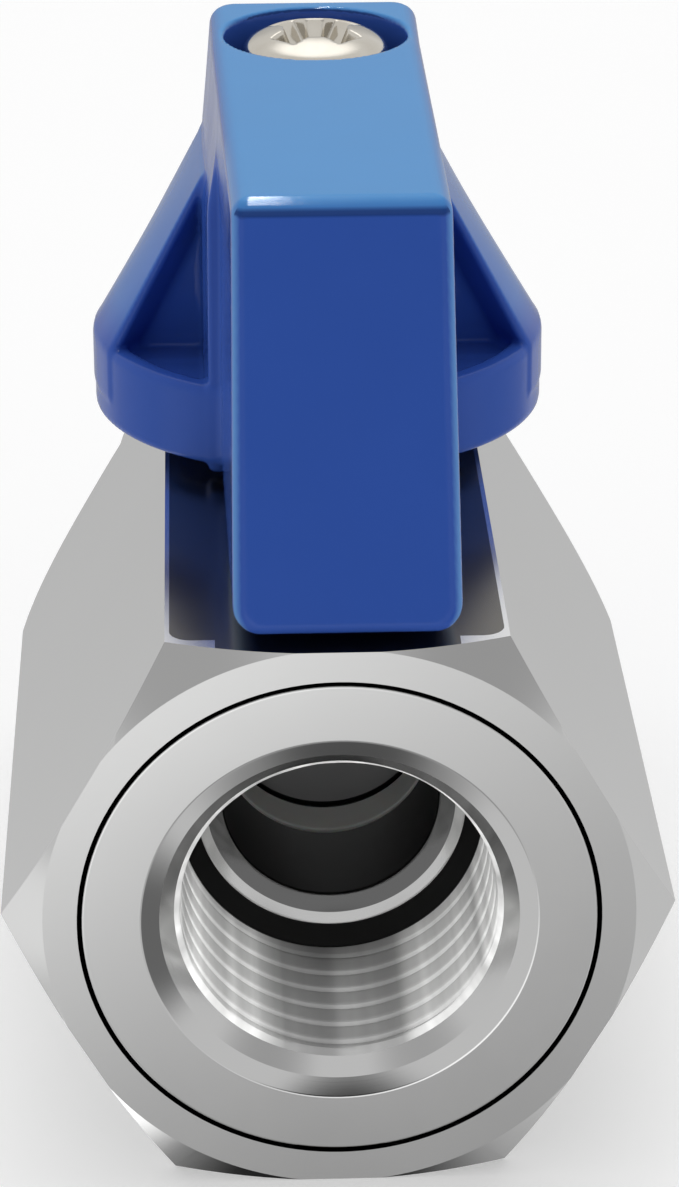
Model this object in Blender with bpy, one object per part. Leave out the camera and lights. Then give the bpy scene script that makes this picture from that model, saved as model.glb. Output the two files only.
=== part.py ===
"""A quarter-turn mini ball valve for a 1/4 in line, with a hexagon body and a cast wedge handle.

+Z runs up the stem, +Y along the waterway from the inlet face to the outlet face. The origin is on the
bottom flat of the hexagon, straight under the stem. The valve is drawn open: the handle lies along the
waterway. Lengths are in millimetres through MM, and Blender's unit is the metre.
"""

import itertools
import math

import bmesh
import bpy
from mathutils import Matrix

MM = 0.001
GAP = 0.25                       # running or assembly clearance between two pieces

# Body
HEX_ACROSS_FLATS = 21.0
BORE_Z = HEX_ACROSS_FLATS / 2    # waterway above the bottom flat
TOP_FLAT_Z = HEX_ACROSS_FLATS
FRONT_Y = -24.0                  # inlet face
REAR_Y = 18.0                    # outlet face
FACE_R = 10.6                    # turned circle that the chamfer leaves on the inlet face
CORNER_R = 12.3                  # just outside the hexagon's corners
CHAMFER = 1.35
SHOULDER_Y = 5.6                 # where the hexagon ends
SHOULDER_R = 10.1
SHOULDER_ROUND = (4.6, CORNER_R - SHOULDER_R)
NECK_R = 8.6
NECK_CHAMFER = 0.4
CAVITY_R = 7.6

# Ports and waterway
MOUTH_R = 7.1
THREAD_R = 5.72                  # minor radius of the pipe thread
MOUTH_DEPTH = MOUTH_R - THREAD_R
INLET_DEPTH = 9.5
OUTLET_DEPTH = 8.5
WATERWAY_R = 4.08
BALL_R = 7.0

# Seats: rings behind and in front of the ball
SEAT_OUTER_R = 6.7
SEAT_BACK = 7.9
SEAT_FRONT = 4.9
POCKET_R = SEAT_OUTER_R + 0.3
POCKET_FLOOR = SEAT_BACK + 0.3

# End insert, screwed into the inlet end
INSERT_R = 9.15
INSERT_BORE_R = INSERT_R + 0.3
INSERT_END_Y = -5.4
SEAL_Y = (-5.15, -3.9)
SEAL_R = (7.9, 9.15)
CAVITY_FRONT_Y = -3.6

# Stem and its bore, all on Z
STEM_R = 3.1
STEM_BORE_R = 3.35
STEM_TOP_Z = 31.7
STEM_FLAT_Z = 23.7
STEM_HALF_FLAT = 2.2
FLANGE_R = 3.7
FLANGE_Z = (BORE_Z + 7.7, BORE_Z + 8.6)
WASHER_Z = (BORE_Z + 8.85, BORE_Z + 9.4)
FLANGE_BORE_R = 4.0
FLANGE_BORE_TOP = BORE_Z + 9.65
TANG = (5.0, 2.5, BORE_Z + 5.5)      # width across the waterway, thickness, lowest point
SLOT = (20.0, 3.0, BORE_Z + 5.2)     # the ball's slot: length, width, floor
O_RING_SECTION_R = 0.45
O_RING_R = 2.65
O_RING_Z = (BORE_Z + 10.5, BORE_Z + 12.1)
GROOVE_R = 2.0
GROOVE_HALF = 0.6
BOSS_R = 5.6
BOSS_TOP_Z = BORE_Z + 13.0

# Quarter-turn stop: a tab inside the handle that swings between two lugs on the body's boss
STOP_R = 7.0
STOP_TOP_Z = TOP_FLAT_Z + 1.9
LUG_ANGLE = 26.0
TAB_ANGLE = 40.0
TAB_OPEN = 270.0                 # the tab's place when the valve is open, in degrees from +X
TAB_SHUT = TAB_OPEN - 90.0
STOP_PLAY = 2.0
TAB_INNER_R = BOSS_R + 0.3

# Handle
SKIRT_R = 8.77
SKIRT_Z = (21.7, 24.85)
CUP_R = 7.35
CUP_ROOF_Z = BOSS_TOP_Z + 0.35
HANDLE_TOP_Z = 36.3
WEB_HALF = 4.0
WEB_TOP_Z = 32.0
GRIP_ROOT_HALF = (4.48, 4.4, 4.02)   # half width at the skirt, at the top of the web and at the top
GRIP_BACK_Y = 4.6
GRIP_STEP_Y = -7.55
NOSE_HALF = (3.95, 3.72)             # bottom, top
NOSE_BOTTOM_Y = -23.6
NOSE_BOTTOM_Z = 21.55
NOSE_TOP_Y = -20.4
NOSE_CORE_HALF = 2.0
NOSE_CORE_Y = (-21.0, -9.6)
NOSE_CORE_TOP = 33.0
POCKET_RIM = 1.2
WEB_POCKET_DEPTH = 1.8

# Screw and lock washer
COUNTERBORE_R = 3.61
COUNTERBORE_Z = 33.3
HEAD_R = 2.8
HEAD_Z = (34.5, 35.8)
HEAD_DOME = 1.0
SCREW_R = 1.45
SCREW_END_Z = 26.6
SCREW_HOLE_R = 1.75
TAPPED_END_Z = 25.8
LOCK_WASHER_R = (1.75, 2.7)
LOCK_WASHER_Z = (33.55, 34.25)
CROSS = (3.2, 0.75, 1.5)             # recess length, slot width, depth

AROUND = 48
AROUND_SMALL = 32


def material(name, colour, roughness, metallic):
    """A Principled BSDF material."""
    made = bpy.data.materials.new(name)
    made.use_nodes = True
    shader = made.node_tree.nodes["Principled BSDF"]
    shader.inputs["Base Color"].default_value = (*colour, 1.0)
    shader.inputs["Roughness"].default_value = roughness
    shader.inputs["Metallic"].default_value = metallic
    made.diffuse_color = (*colour, 1.0)
    return made


def add_object(name, bm, finish=None, parent=None):
    """Turns a bmesh in millimetres into an object, whose origin is its parent's."""
    bmesh.ops.remove_doubles(bm, verts=bm.verts, dist=1e-4)
    bmesh.ops.recalc_face_normals(bm, faces=bm.faces)
    bmesh.ops.scale(bm, vec=(MM, MM, MM), verts=bm.verts)
    mesh = bpy.data.meshes.new(name)
    bm.to_mesh(mesh)
    bm.free()
    mesh.shade_smooth()
    mesh.set_sharp_from_angle(angle=math.radians(30))
    made = bpy.data.objects.new(name, mesh)
    bpy.context.scene.collection.objects.link(made)
    if finish:
        mesh.materials.append(finish)
    if parent:
        made.parent = parent
    return made


def helper(name, bm, parent=None):
    """A cutter or a shape to be joined: kept out of the render."""
    made = add_object(name, bm, parent=parent)
    made.hide_render = True
    made.display_type = "WIRE"
    return made


def combine(target, other, operation):
    step = target.modifiers.new(f"{operation.lower()}_{other.name}", "BOOLEAN")
    step.operation = operation
    step.solver = "EXACT"
    step.object = other


def turned(outline, segments=AROUND, along="Y", height=0.0):
    """Turns a closed outline of (radius, position) about a line along Y at this height, or about Z."""
    bm = bmesh.new()
    if along == "Y":
        points = [bm.verts.new((radius, place, height)) for radius, place in outline]
        axis = (0.0, 1.0, 0.0)
    else:
        points = [bm.verts.new((radius, 0.0, place)) for radius, place in outline]
        axis = (0.0, 0.0, 1.0)
    edges = [bm.edges.new((a, b)) for a, b in zip(points, points[1:] + points[:1])]
    centre = (0.0, 0.0, height if along == "Y" else 0.0)
    bmesh.ops.spin(
        bm, geom=points + edges, cent=centre, axis=axis,
        angle=math.tau, steps=segments, use_merge=True,
    )
    bmesh.ops.remove_doubles(bm, verts=bm.verts, dist=1e-4)
    bmesh.ops.dissolve_degenerate(bm, dist=1e-5, edges=bm.edges)
    return bm


def hull(points):
    bm = bmesh.new()
    corners = [bm.verts.new(point) for point in points]
    made = bmesh.ops.convex_hull(bm, input=corners)
    spare = [item for item in made["geom_interior"] if isinstance(item, bmesh.types.BMVert)]
    bmesh.ops.delete(bm, geom=spare, context="VERTS")
    return bm


def box(low, high):
    return hull(list(itertools.product(*zip(low, high))))


def sector(inner, outer, start, stop, low, high, steps):
    """A block between two radii and two angles, standing on Z."""
    bm = bmesh.new()
    angles = [math.radians(start + (stop - start) * i / steps) for i in range(steps + 1)]
    rim = [(outer * math.cos(a), outer * math.sin(a), low) for a in angles]
    back = [(inner * math.cos(a), inner * math.sin(a), low) for a in reversed(angles)]
    face = bm.faces.new([bm.verts.new(point) for point in rim + back])
    grown = bmesh.ops.extrude_face_region(bm, geom=[face])
    top = [item for item in grown["geom"] if isinstance(item, bmesh.types.BMVert)]
    bmesh.ops.translate(bm, vec=(0, 0, high - low), verts=top)
    return bm


def arc(centre, half_axes, start, stop, steps):
    """Points (radius, position) on an ellipse, the angle measured from the radius towards the position."""
    found = []
    for i in range(steps + 1):
        angle = math.radians(start + (stop - start) * i / steps)
        across, along = half_axes[0] * math.cos(angle), half_axes[1] * math.sin(angle)
        found.append((centre[0] + across, centre[1] + along))
    return found


def port(face_y, depth, inwards):
    """The outline of a threaded mouth, from the face down to its floor at the waterway's radius."""
    return [
        (MOUTH_R, face_y),
        (THREAD_R, face_y + inwards * MOUTH_DEPTH),
        (THREAD_R, face_y + inwards * depth),
    ]


def make_body(finish, root):
    radius = HEX_ACROSS_FLATS / math.sqrt(3)
    bm = bmesh.new()
    corners = [math.radians(60 * i) for i in range(6)]
    points = [(radius * math.cos(a), FRONT_Y, BORE_Z + radius * math.sin(a)) for a in corners]
    ring = [bm.verts.new(point) for point in points]
    grown = bmesh.ops.extrude_face_region(bm, geom=[bm.faces.new(ring)])
    far = [item for item in grown["geom"] if isinstance(item, bmesh.types.BMVert)]
    bmesh.ops.translate(bm, vec=(0, REAR_Y - FRONT_Y, 0), verts=far)
    body = add_object("body", bm, finish, root)

    round_y, round_r = SHOULDER_ROUND
    outside = [(0.0, FRONT_Y - 1), (FACE_R, FRONT_Y - 1), (FACE_R, FRONT_Y), (CORNER_R, FRONT_Y + CHAMFER)]
    outside += arc((SHOULDER_R, SHOULDER_Y - round_y), (round_r, round_y), 0, 90, 6)
    outside += [(NECK_R + 0.6, SHOULDER_Y), (NECK_R, SHOULDER_Y + 0.6)]
    face_r = NECK_R - NECK_CHAMFER
    outside += [(NECK_R, REAR_Y - NECK_CHAMFER), (face_r, REAR_Y), (face_r, REAR_Y + 1), (0.0, REAR_Y + 1)]
    combine(body, helper("body_outside", turned(outside, along="Y", height=BORE_Z), root), "INTERSECT")

    boss = [(0.0, TOP_FLAT_Z - 2), (BOSS_R, TOP_FLAT_Z - 2), (BOSS_R, BOSS_TOP_Z), (0.0, BOSS_TOP_Z)]
    combine(body, helper("body_boss", turned(boss, AROUND_SMALL, "Z"), root), "UNION")
    reach = TAB_ANGLE / 2 + STOP_PLAY
    for name, start in (("stop_lug_open", TAB_OPEN + reach), ("stop_lug_shut", TAB_SHUT - reach - LUG_ANGLE)):
        lug = sector(BOSS_R - 1, STOP_R, start, start + LUG_ANGLE, TOP_FLAT_Z - 1.5, STOP_TOP_Z, 4)
        combine(body, helper(name, lug, root), "UNION")

    inside = [
        (0.0, FRONT_Y - 1), (INSERT_BORE_R, FRONT_Y - 1), (INSERT_BORE_R, CAVITY_FRONT_Y),
        (CAVITY_R, CAVITY_FRONT_Y), (CAVITY_R, SEAT_FRONT + 0.3), (POCKET_R, SEAT_FRONT + 0.3),
        (POCKET_R, POCKET_FLOOR), (WATERWAY_R, POCKET_FLOOR), (WATERWAY_R, REAR_Y - OUTLET_DEPTH),
    ]
    inside += list(reversed(port(REAR_Y, OUTLET_DEPTH, -1)))
    inside += [(MOUTH_R, REAR_Y + 1), (0.0, REAR_Y + 1)]
    combine(body, helper("body_inside", turned(inside, along="Y", height=BORE_Z), root), "DIFFERENCE")

    bore = [
        (0.0, BORE_Z), (FLANGE_BORE_R, BORE_Z), (FLANGE_BORE_R, FLANGE_BORE_TOP),
        (STEM_BORE_R, FLANGE_BORE_TOP), (STEM_BORE_R, BOSS_TOP_Z + 1), (0.0, BOSS_TOP_Z + 1),
    ]
    combine(body, helper("body_stem_bore", turned(bore, AROUND_SMALL, "Z"), root), "DIFFERENCE")


def make_end_insert(finish, root):
    outline = port(FRONT_Y, INLET_DEPTH, 1)
    floor = FRONT_Y + INLET_DEPTH
    outline += [(5.1, floor), (5.1, floor + 0.4), (4.8, floor + 1.1), (WATERWAY_R, floor + 1.1)]
    outline += [(WATERWAY_R, -POCKET_FLOOR), (POCKET_R, -POCKET_FLOOR), (POCKET_R, INSERT_END_Y)]
    outline += [(INSERT_R, INSERT_END_Y), (INSERT_R, FRONT_Y)]
    add_object("end_insert", turned(outline, height=BORE_Z), finish, root)


def make_seats(finish, root):
    reach = BALL_R + GAP
    lip = math.degrees(math.asin(WATERWAY_R / reach))
    edge = math.degrees(math.acos(SEAT_FRONT / reach))
    for name, side in (("inlet_seat", -1), ("outlet_seat", 1)):
        outline = [(WATERWAY_R, side * SEAT_BACK), (SEAT_OUTER_R, side * SEAT_BACK)]
        outline += [(SEAT_OUTER_R, side * SEAT_FRONT)]
        for i in range(5):
            angle = math.radians(edge + (lip - edge) * i / 4)
            outline.append((reach * math.sin(angle), side * reach * math.cos(angle)))
        add_object(name, turned(outline, height=BORE_Z), finish, root)


def make_body_seal(finish, root):
    (low, high), (inner, outer) = SEAL_Y, SEAL_R
    outline = [(inner, low), (outer, low), (outer, high), (inner, high)]
    add_object("body_seal", turned(outline, height=BORE_Z), finish, root)


def make_ball(finish, pivot):
    """The ball on its own pivot, which turns with the stem."""
    bm = bmesh.new()
    bmesh.ops.create_uvsphere(bm, u_segments=40, v_segments=20, radius=BALL_R)
    bmesh.ops.translate(bm, vec=(0, 0, BORE_Z), verts=bm.verts)
    ball = add_object("ball", bm, finish, pivot)
    way = [(0.0, -BALL_R - 1), (WATERWAY_R, -BALL_R - 1), (WATERWAY_R, BALL_R + 1), (0.0, BALL_R + 1)]
    combine(ball, helper("ball_bore", turned(way, height=BORE_Z), pivot), "DIFFERENCE")
    length, width, floor = SLOT
    slot = box((-length / 2, -width / 2, floor), (length / 2, width / 2, BORE_Z + BALL_R + 1))
    combine(ball, helper("ball_slot", slot, pivot), "DIFFERENCE")


def make_stem(finish, pivot):
    outline = [(0.0, FLANGE_Z[0]), (FLANGE_R, FLANGE_Z[0]), (FLANGE_R, FLANGE_Z[1]), (STEM_R, FLANGE_Z[1])]
    for z in O_RING_Z:
        outline += [(STEM_R, z - GROOVE_HALF), (GROOVE_R, z - GROOVE_HALF)]
        outline += [(GROOVE_R, z + GROOVE_HALF), (STEM_R, z + GROOVE_HALF)]
    outline += [(STEM_R, STEM_TOP_Z - 0.4), (STEM_R - 0.4, STEM_TOP_Z)]
    outline += [(SCREW_HOLE_R, STEM_TOP_Z), (SCREW_HOLE_R, TAPPED_END_Z), (0.0, TAPPED_END_Z - 1)]
    stem = add_object("stem", turned(outline, AROUND_SMALL, "Z"), finish, pivot)
    for side in (-1, 1):
        name = "stem_flat_left" if side < 0 else "stem_flat_right"
        near, far = sorted((side * STEM_HALF_FLAT, side * 2 * STEM_R))
        cutter = box((near, -2 * STEM_R, STEM_FLAT_Z), (far, 2 * STEM_R, STEM_TOP_Z + 1))
        combine(stem, helper(name, cutter, pivot), "DIFFERENCE")
    width, thickness, low = TANG
    tang = box((-width / 2, -thickness / 2, low), (width / 2, thickness / 2, FLANGE_Z[0] + 0.5))
    combine(stem, helper("stem_tang", tang, pivot), "UNION")


def make_stem_seals(ptfe, rubber, root, pivot):
    low, high = WASHER_Z
    inner = STEM_R + GAP
    washer = [(inner, low), (FLANGE_R, low), (FLANGE_R, high), (inner, high)]
    add_object("stem_thrust_washer", turned(washer, AROUND_SMALL, "Z"), ptfe, root)
    for name, z in zip(("lower_stem_o_ring", "upper_stem_o_ring"), O_RING_Z):
        section = arc((O_RING_R, z), (O_RING_SECTION_R, O_RING_SECTION_R), 0, 324, 9)
        add_object(name, turned(section, AROUND_SMALL, "Z"), rubber, pivot)


def grip_root():
    """The block over the stem, narrower towards its top."""
    skirt, web, top = GRIP_ROOT_HALF
    points = []
    for half, z in ((skirt, SKIRT_Z[0]), (web, WEB_TOP_Z), (top, HANDLE_TOP_Z)):
        points += [(side * half, y, z) for side in (-1, 1) for y in (GRIP_STEP_Y, GRIP_BACK_Y)]
    return hull(points)


def grip_nose():
    """The lever forward of the stem, with a front face that leans back."""
    bottom, top = NOSE_HALF
    points = [(side * bottom, NOSE_BOTTOM_Y, NOSE_BOTTOM_Z) for side in (-1, 1)]
    points += [(side * bottom, GRIP_STEP_Y + 1, SKIRT_Z[0]) for side in (-1, 1)]
    points += [(side * top, y, HANDLE_TOP_Z) for side in (-1, 1) for y in (NOSE_TOP_Y, GRIP_STEP_Y + 1)]
    return hull(points)


def cross_web():
    """The web across the handle, from the skirt's rim up to the grip."""
    points = []
    for i in range(-2, 3):
        y = WEB_HALF * i / 2
        reach = math.sqrt(SKIRT_R**2 - y**2)
        for side in (-1, 1):
            points += [(side * reach, y, SKIRT_Z[1] - 0.5), (side * reach, y, SKIRT_Z[1])]
            points += [(side * GRIP_ROOT_HALF[1], y, WEB_TOP_Z - abs(y) / 8)]
    return hull(points)


def web_pocket(side, front):
    """The triangular recess between the web's rim and the grip."""
    inner = GRIP_ROOT_HALF[0] + 0.02
    base = SKIRT_Z[1] + 0.02
    outer = math.sqrt(SKIRT_R**2 - WEB_HALF**2) - POCKET_RIM
    apex = WEB_TOP_Z - 1.9
    triangle = ((inner, base), (outer, base), (inner, apex))
    depths = (front * (WEB_HALF - WEB_POCKET_DEPTH), front * (WEB_HALF + 3))
    return hull([(side * x, y, z) for y in depths for x, z in triangle])


def make_handle(finish, pivot):
    low, high = SKIRT_Z
    skirt = [(0.0, low), (SKIRT_R, low), (SKIRT_R, high), (0.0, high)]
    handle = add_object("handle", turned(skirt, AROUND, "Z"), finish, pivot)
    for name, bm in (
        ("handle_web", cross_web()), ("handle_grip_root", grip_root()), ("handle_grip_nose", grip_nose()),
    ):
        combine(handle, helper(name, bm, pivot), "UNION")

    cup = [(0.0, low - 1), (CUP_R, low - 1), (CUP_R, CUP_ROOF_Z), (0.0, CUP_ROOF_Z)]
    combine(handle, helper("handle_cup", turned(cup, AROUND, "Z"), pivot), "DIFFERENCE")
    tab = sector(
        TAB_INNER_R, CUP_R + 0.7, TAB_OPEN - TAB_ANGLE / 2, TAB_OPEN + TAB_ANGLE / 2,
        low, CUP_ROOF_Z + 0.4, 5,
    )
    combine(handle, helper("handle_stop_tab", tab, pivot), "UNION")

    for name, side, front in (
        ("pocket_front_left", -1, -1), ("pocket_front_right", 1, -1),
        ("pocket_back_left", -1, 1), ("pocket_back_right", 1, 1),
    ):
        combine(handle, helper(name, web_pocket(side, front), pivot), "DIFFERENCE")

    (back, front), core = NOSE_CORE_Y, NOSE_CORE_HALF
    core_block = box((-core, back, low - 1), (core, front, NOSE_CORE_TOP))
    combine(handle, helper("handle_nose_core", core_block, pivot), "DIFFERENCE")

    reach, half = STEM_R + 0.3, STEM_HALF_FLAT + 0.3
    bend = math.degrees(math.acos(half / reach))
    bm = bmesh.new()
    ring = []
    for start in (bend, 180 + bend):
        for i in range(9):
            angle = math.radians(start + (180 - 2 * bend) * i / 8)
            ring.append(bm.verts.new((reach * math.cos(angle), reach * math.sin(angle), CUP_ROOF_Z - 1)))
    grown = bmesh.ops.extrude_face_region(bm, geom=[bm.faces.new(ring)])
    top = [item for item in grown["geom"] if isinstance(item, bmesh.types.BMVert)]
    bmesh.ops.translate(bm, vec=(0, 0, STEM_TOP_Z + 0.3 - CUP_ROOF_Z + 1), verts=top)
    combine(handle, helper("handle_socket", bm, pivot), "DIFFERENCE")

    hole = [
        (0.0, STEM_TOP_Z), (SCREW_HOLE_R, STEM_TOP_Z), (SCREW_HOLE_R, COUNTERBORE_Z),
        (COUNTERBORE_R, COUNTERBORE_Z), (COUNTERBORE_R, HANDLE_TOP_Z + 1), (0.0, HANDLE_TOP_Z + 1),
    ]
    combine(handle, helper("handle_counterbore", turned(hole, AROUND_SMALL, "Z"), pivot), "DIFFERENCE")


def make_screw(finish, pivot):
    low, rim = HEAD_Z
    outline = [(0.0, SCREW_END_Z), (SCREW_R - 0.3, SCREW_END_Z), (SCREW_R, SCREW_END_Z + 0.3)]
    outline += [(SCREW_R, low), (HEAD_R, low)]
    outline += arc((0.0, rim), (HEAD_R, HEAD_DOME), 0, 90, 6)
    screw = add_object("handle_screw", turned(outline, AROUND_SMALL, "Z"), finish, pivot)
    length, width, depth = CROSS
    top = rim + HEAD_DOME + 1
    for name, turn in (("cross_slot_one", 45), ("cross_slot_two", 135)):
        points = []
        for z, half in ((rim + HEAD_DOME - depth, length / 5), (top, length * 0.6)):
            points += [(x, y, z) for x in (-half, half) for y in (-width / 2, width / 2)]
        cutter = hull(points)
        turned_by = Matrix.Rotation(math.radians(turn), 3, "Z")
        bmesh.ops.rotate(cutter, cent=(0, 0, 0), matrix=turned_by, verts=cutter.verts)
        combine(screw, helper(name, cutter, pivot), "DIFFERENCE")


def make_lock_washer(finish, pivot):
    (inner, outer), (low, high) = LOCK_WASHER_R, LOCK_WASHER_Z
    ring = sector(inner, outer, 93, 447, low, high, 30)
    add_object("screw_lock_washer", ring, finish, pivot)


def empty(name):
    """A parent at the origin, which lies on the stem's axis."""
    made = bpy.data.objects.new(name, None)
    bpy.context.scene.collection.objects.link(made)
    return made


def main():
    for old in list(bpy.data.objects):
        bpy.data.objects.remove(old, do_unlink=True)
    steel = material("stainless_steel", (0.62, 0.62, 0.61), 0.28, 1.0)
    polished = material("polished_steel", (0.72, 0.72, 0.72), 0.08, 1.0)
    ptfe = material("white_ptfe", (0.85, 0.85, 0.83), 0.45, 0.0)
    rubber = material("black_rubber", (0.02, 0.02, 0.02), 0.6, 0.0)
    enamel = material("blue_enamel", (0.03, 0.09, 0.35), 0.22, 0.0)
    nickel = material("nickel_plate", (0.78, 0.74, 0.68), 0.2, 1.0)

    root = empty("valve")
    handle_axis = empty("handle_axis")
    ball_axis = empty("ball_axis")
    make_body(steel, root)
    make_end_insert(steel, root)
    make_seats(ptfe, root)
    make_body_seal(ptfe, root)
    make_ball(polished, ball_axis)
    make_stem(steel, handle_axis)
    make_stem_seals(ptfe, rubber, root, handle_axis)
    make_handle(enamel, handle_axis)
    make_screw(nickel, handle_axis)
    make_lock_washer(nickel, handle_axis)


main()
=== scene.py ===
"""The looks of the quarter-turn mini ball valve, built round its CAD: meshes, materials, light and camera.

Shapes are worked out in millimetres and scaled by MM when a mesh is made. +Z runs up the stem, +Y along the
waterway from the inlet face, and the origin is on the bottom flat under the stem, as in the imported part.
"""

import math

import bmesh
import bpy
import numpy as np
from mathutils import Matrix, Vector

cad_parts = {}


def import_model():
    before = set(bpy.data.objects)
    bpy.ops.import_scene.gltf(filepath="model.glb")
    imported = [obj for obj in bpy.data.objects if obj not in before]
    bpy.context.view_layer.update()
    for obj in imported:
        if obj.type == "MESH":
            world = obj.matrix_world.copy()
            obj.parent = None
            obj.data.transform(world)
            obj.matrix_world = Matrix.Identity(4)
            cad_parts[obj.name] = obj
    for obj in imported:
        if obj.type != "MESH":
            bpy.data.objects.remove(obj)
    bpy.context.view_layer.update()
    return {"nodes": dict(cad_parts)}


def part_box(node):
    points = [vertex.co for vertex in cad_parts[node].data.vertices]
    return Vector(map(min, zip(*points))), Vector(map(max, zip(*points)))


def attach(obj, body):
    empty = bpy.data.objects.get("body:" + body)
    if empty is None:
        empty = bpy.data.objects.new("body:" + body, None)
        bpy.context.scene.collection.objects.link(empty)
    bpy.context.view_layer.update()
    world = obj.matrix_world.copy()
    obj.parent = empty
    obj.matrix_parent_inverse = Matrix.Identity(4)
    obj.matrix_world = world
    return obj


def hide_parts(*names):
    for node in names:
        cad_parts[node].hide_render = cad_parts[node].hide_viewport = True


MM = 0.001
WELD = 1e-4                      # points this close, in millimetres, are one point
AROUND = 144                     # segments of a turned piece
AROUND_SMALL = 72

# Body
BODY_EDGE = 0.16                 # broken edges of the hexagon
FACE_R = 10.6                    # turned circle that the chamfer leaves on the inlet face
CORNER_R = 12.3
CHAMFER = 1.35
SHOULDER_Y = 5.6
SHOULDER_R = 10.1
SHOULDER_ROUND = (2.2, 4.6)
NECK_R = 8.6
INSERT_BORE_R = 9.38
CAVITY_R, CAVITY_Y = 7.6, (-3.6, 5.2)    # round the ball: from the seal's shoulder to the seat's
BOSS_R = 5.6
BOSS_TOP = 23.5
STOP_R = 7.0
STOP_TOP = 22.9
LUG_STARTS = (292.0, 132.0)      # degrees from +X to each stop lug
LUG_ANGLE = 26.0
STEM_BORE_R = 3.35
FLANGE_BORE = (4.0, 20.15)       # radius, top

# Threaded mouths
MOUTH_R = 7.1
LEAD_IN = ((6.45, 0.3), (6.0, 0.85))    # (radius, depth) of the two countersinks' inner edges
THREAD_MINOR = 5.72
THREAD_MAJOR = 5.9
PITCH = 1.337
ROWS_PER_PITCH = 16
RUN_OUT = 1.3
INLET_DEPTH = 9.2
OUTLET_DEPTH = 8.3
RELIEF_R, STEP_R = 5.08, 4.72     # past the thread: a relief with painted shade, then a bright step
WATERWAY_R = 4.08

# End insert, seats and ball
INSERT_R = 9.22
INSERT_END_Y = -5.4
POCKET = (7.0, 8.2)              # seat pocket: radius, distance of its floor from the stem
SEAT_R = 6.7
SEAT_Y = (4.9, 7.9)
BALL_R = 7.0
SEAT_GAP = 0.25
BODY_SEAL = (7.9, 9.15, -5.15, -3.9, 0.15)    # inner and outer radius, both faces, corner radius
WASHER = (3.35, 3.7, 19.35, 19.9, 0.06)
BALL_LIP = 0.25                  # the flat where the ball's bore comes out
SLOT_HALF, SLOT_FLOOR = 1.5, 5.2    # the ball's slot for the tang, its floor above the waterway

# Stem
STEM_R = 3.1
STEM_TOP = 31.7
STEM_FLAT = (2.2, 23.7)          # half width over the flats, where they start
FLANGE = (3.7, 18.2, 19.1)
TANG = (5.0, 2.5, 16.0)
O_RING_Z = (21.0, 22.6)
O_RING_R, O_RING_WIRE_R = 2.65, 0.45
GROOVE = (2.0, 0.6)

# Handle
SKIRT_R = 8.77
SKIRT_LOW, SKIRT_TOP = 21.7, 24.85
CUP_R, CUP_ROOF = 7.35, 23.85
HANDLE_TOP = ((-20.4, 36.3), (0.0, 36.48), (4.6, 36.52))    # the top falls a little towards the nose
WEB_TOP = 32.0
ROOT_HALF = ((21.7, 4.48), (32.0, 4.4), (36.3, 4.02))
ROOT_FRONT, ROOT_BACK = -7.55, 4.7
STEP_FADE = (31.2, 34.6)         # over these heights the step from root to nose dies out
NOSE_HALF = ((21.4, 4.03), (36.3, 3.8))
NOSE_LOW = 21.42
NOSE_LEAN = 0.0152               # the grip stands a little off square
NOSE_FRONT = ((21.55, -23.6), (36.3, -20.4))
POCKET_RIM = 0.22
POCKET_WALL = 1.1                # how far the pocket's sloped wall comes in on its way down
POCKET_DEPTH = 1.7
DECK_R, DECK_Z = 7.95, 24.4      # the skirt's top is sunk inside a narrow rim
WEB_FACE = 3.4                  # the web's faces stand this far out in front and behind
COUNTERBORE_R, COUNTERBORE_FLOOR = 3.52, 33.3
SCREW_HOLE_R = 1.75
TAB = (5.9, 250.0, 290.0)        # the stop tab: inner radius, start and end in degrees from +X
CORE = (2.0, -21.0, -9.6, 33.0)  # hollow under the nose: half width, front, back, roof
STEM_PLAY = 0.3
FILLET = 0.2
NOSE_LOW_EDGE, NOSE_FRONT_EDGE = 1.0, 0.46    # radii of the grip's edges
ROOT_BACK_EDGE, GRIP_TOP_EDGE = 1.0, 0.6
HANDLE_STEPS = (0.22, 0.15)      # cells of the surface, quick and full

# Screw
HEAD_R = 2.8
HEAD_LOW, HEAD_RIM = 34.5, 35.8
HEAD_DOME = 1.0
SCREW_R, SCREW_ROOT_R = 1.45, 1.2
SCREW_PITCH = 0.5
SCREW_END = 26.6
SCREW_STEPS = (0.12, 0.075)
RECESS_DEPTH = 1.5
ARM_HALF, ARM_REACH, ARM_FLARE = 0.36, 0.6, 0.2    # the cross's arms at its floor, and their flare
CENTRE_R, CENTRE_FLARE = 0.68, 0.42
RECESS_EDGE = 0.07

# Colours, linear
STEEL = (0.6, 0.6, 0.597)
BRIGHT_BAR = (0.88, 0.88, 0.875)
# painted shade in the waterway's bore, and on the step ring before it
BORE_PAINTED_SHADE = (0.035, 0.035, 0.036)
STEP_PAINTED_SHADE = (0.15, 0.15, 0.15)
# painted shade in the relief past the thread
RELIEF_PAINTED_SHADE = (0.02, 0.02, 0.02)
TAPPED = ((0.12, 0.12, 0.12), (0.97, 0.97, 0.96))
TAPPED_DULLNESS = 0.88           # how far the thread's torn metal is from a mirror
BOTTOM_SHADE_MIDDLE = 0.03            # radians from straight down to the middle of the painted shade along the bottom
BOTTOM_SHADE_SIDE, BOTTOM_SHADE_LEAST = (0.38, 0.6), 0.24    # where it fades out, and its level
TOP_PAINTED_SHADE = (0.19, 0.18, 0.16)    # painted shade on the middle of the top flat, and a painted highlight on its rim
TOP_RIM_PAINTED_HIGHLIGHT = (0.96, 0.96, 0.95)
TOP_PANEL = (5.1, -21.9, 0.8)    # half width and front of the painted shade, less its corner radius
TOP_MIDDLE = 4.3                 # inside this half width there is no painted highlight rim in front
ENAMEL = (0.033, 0.09, 0.395)
ENAMEL_PAINTED_SHADE = (0.007, 0.034, 0.17)    # painted shade in a band under the grip's top front edge
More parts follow.
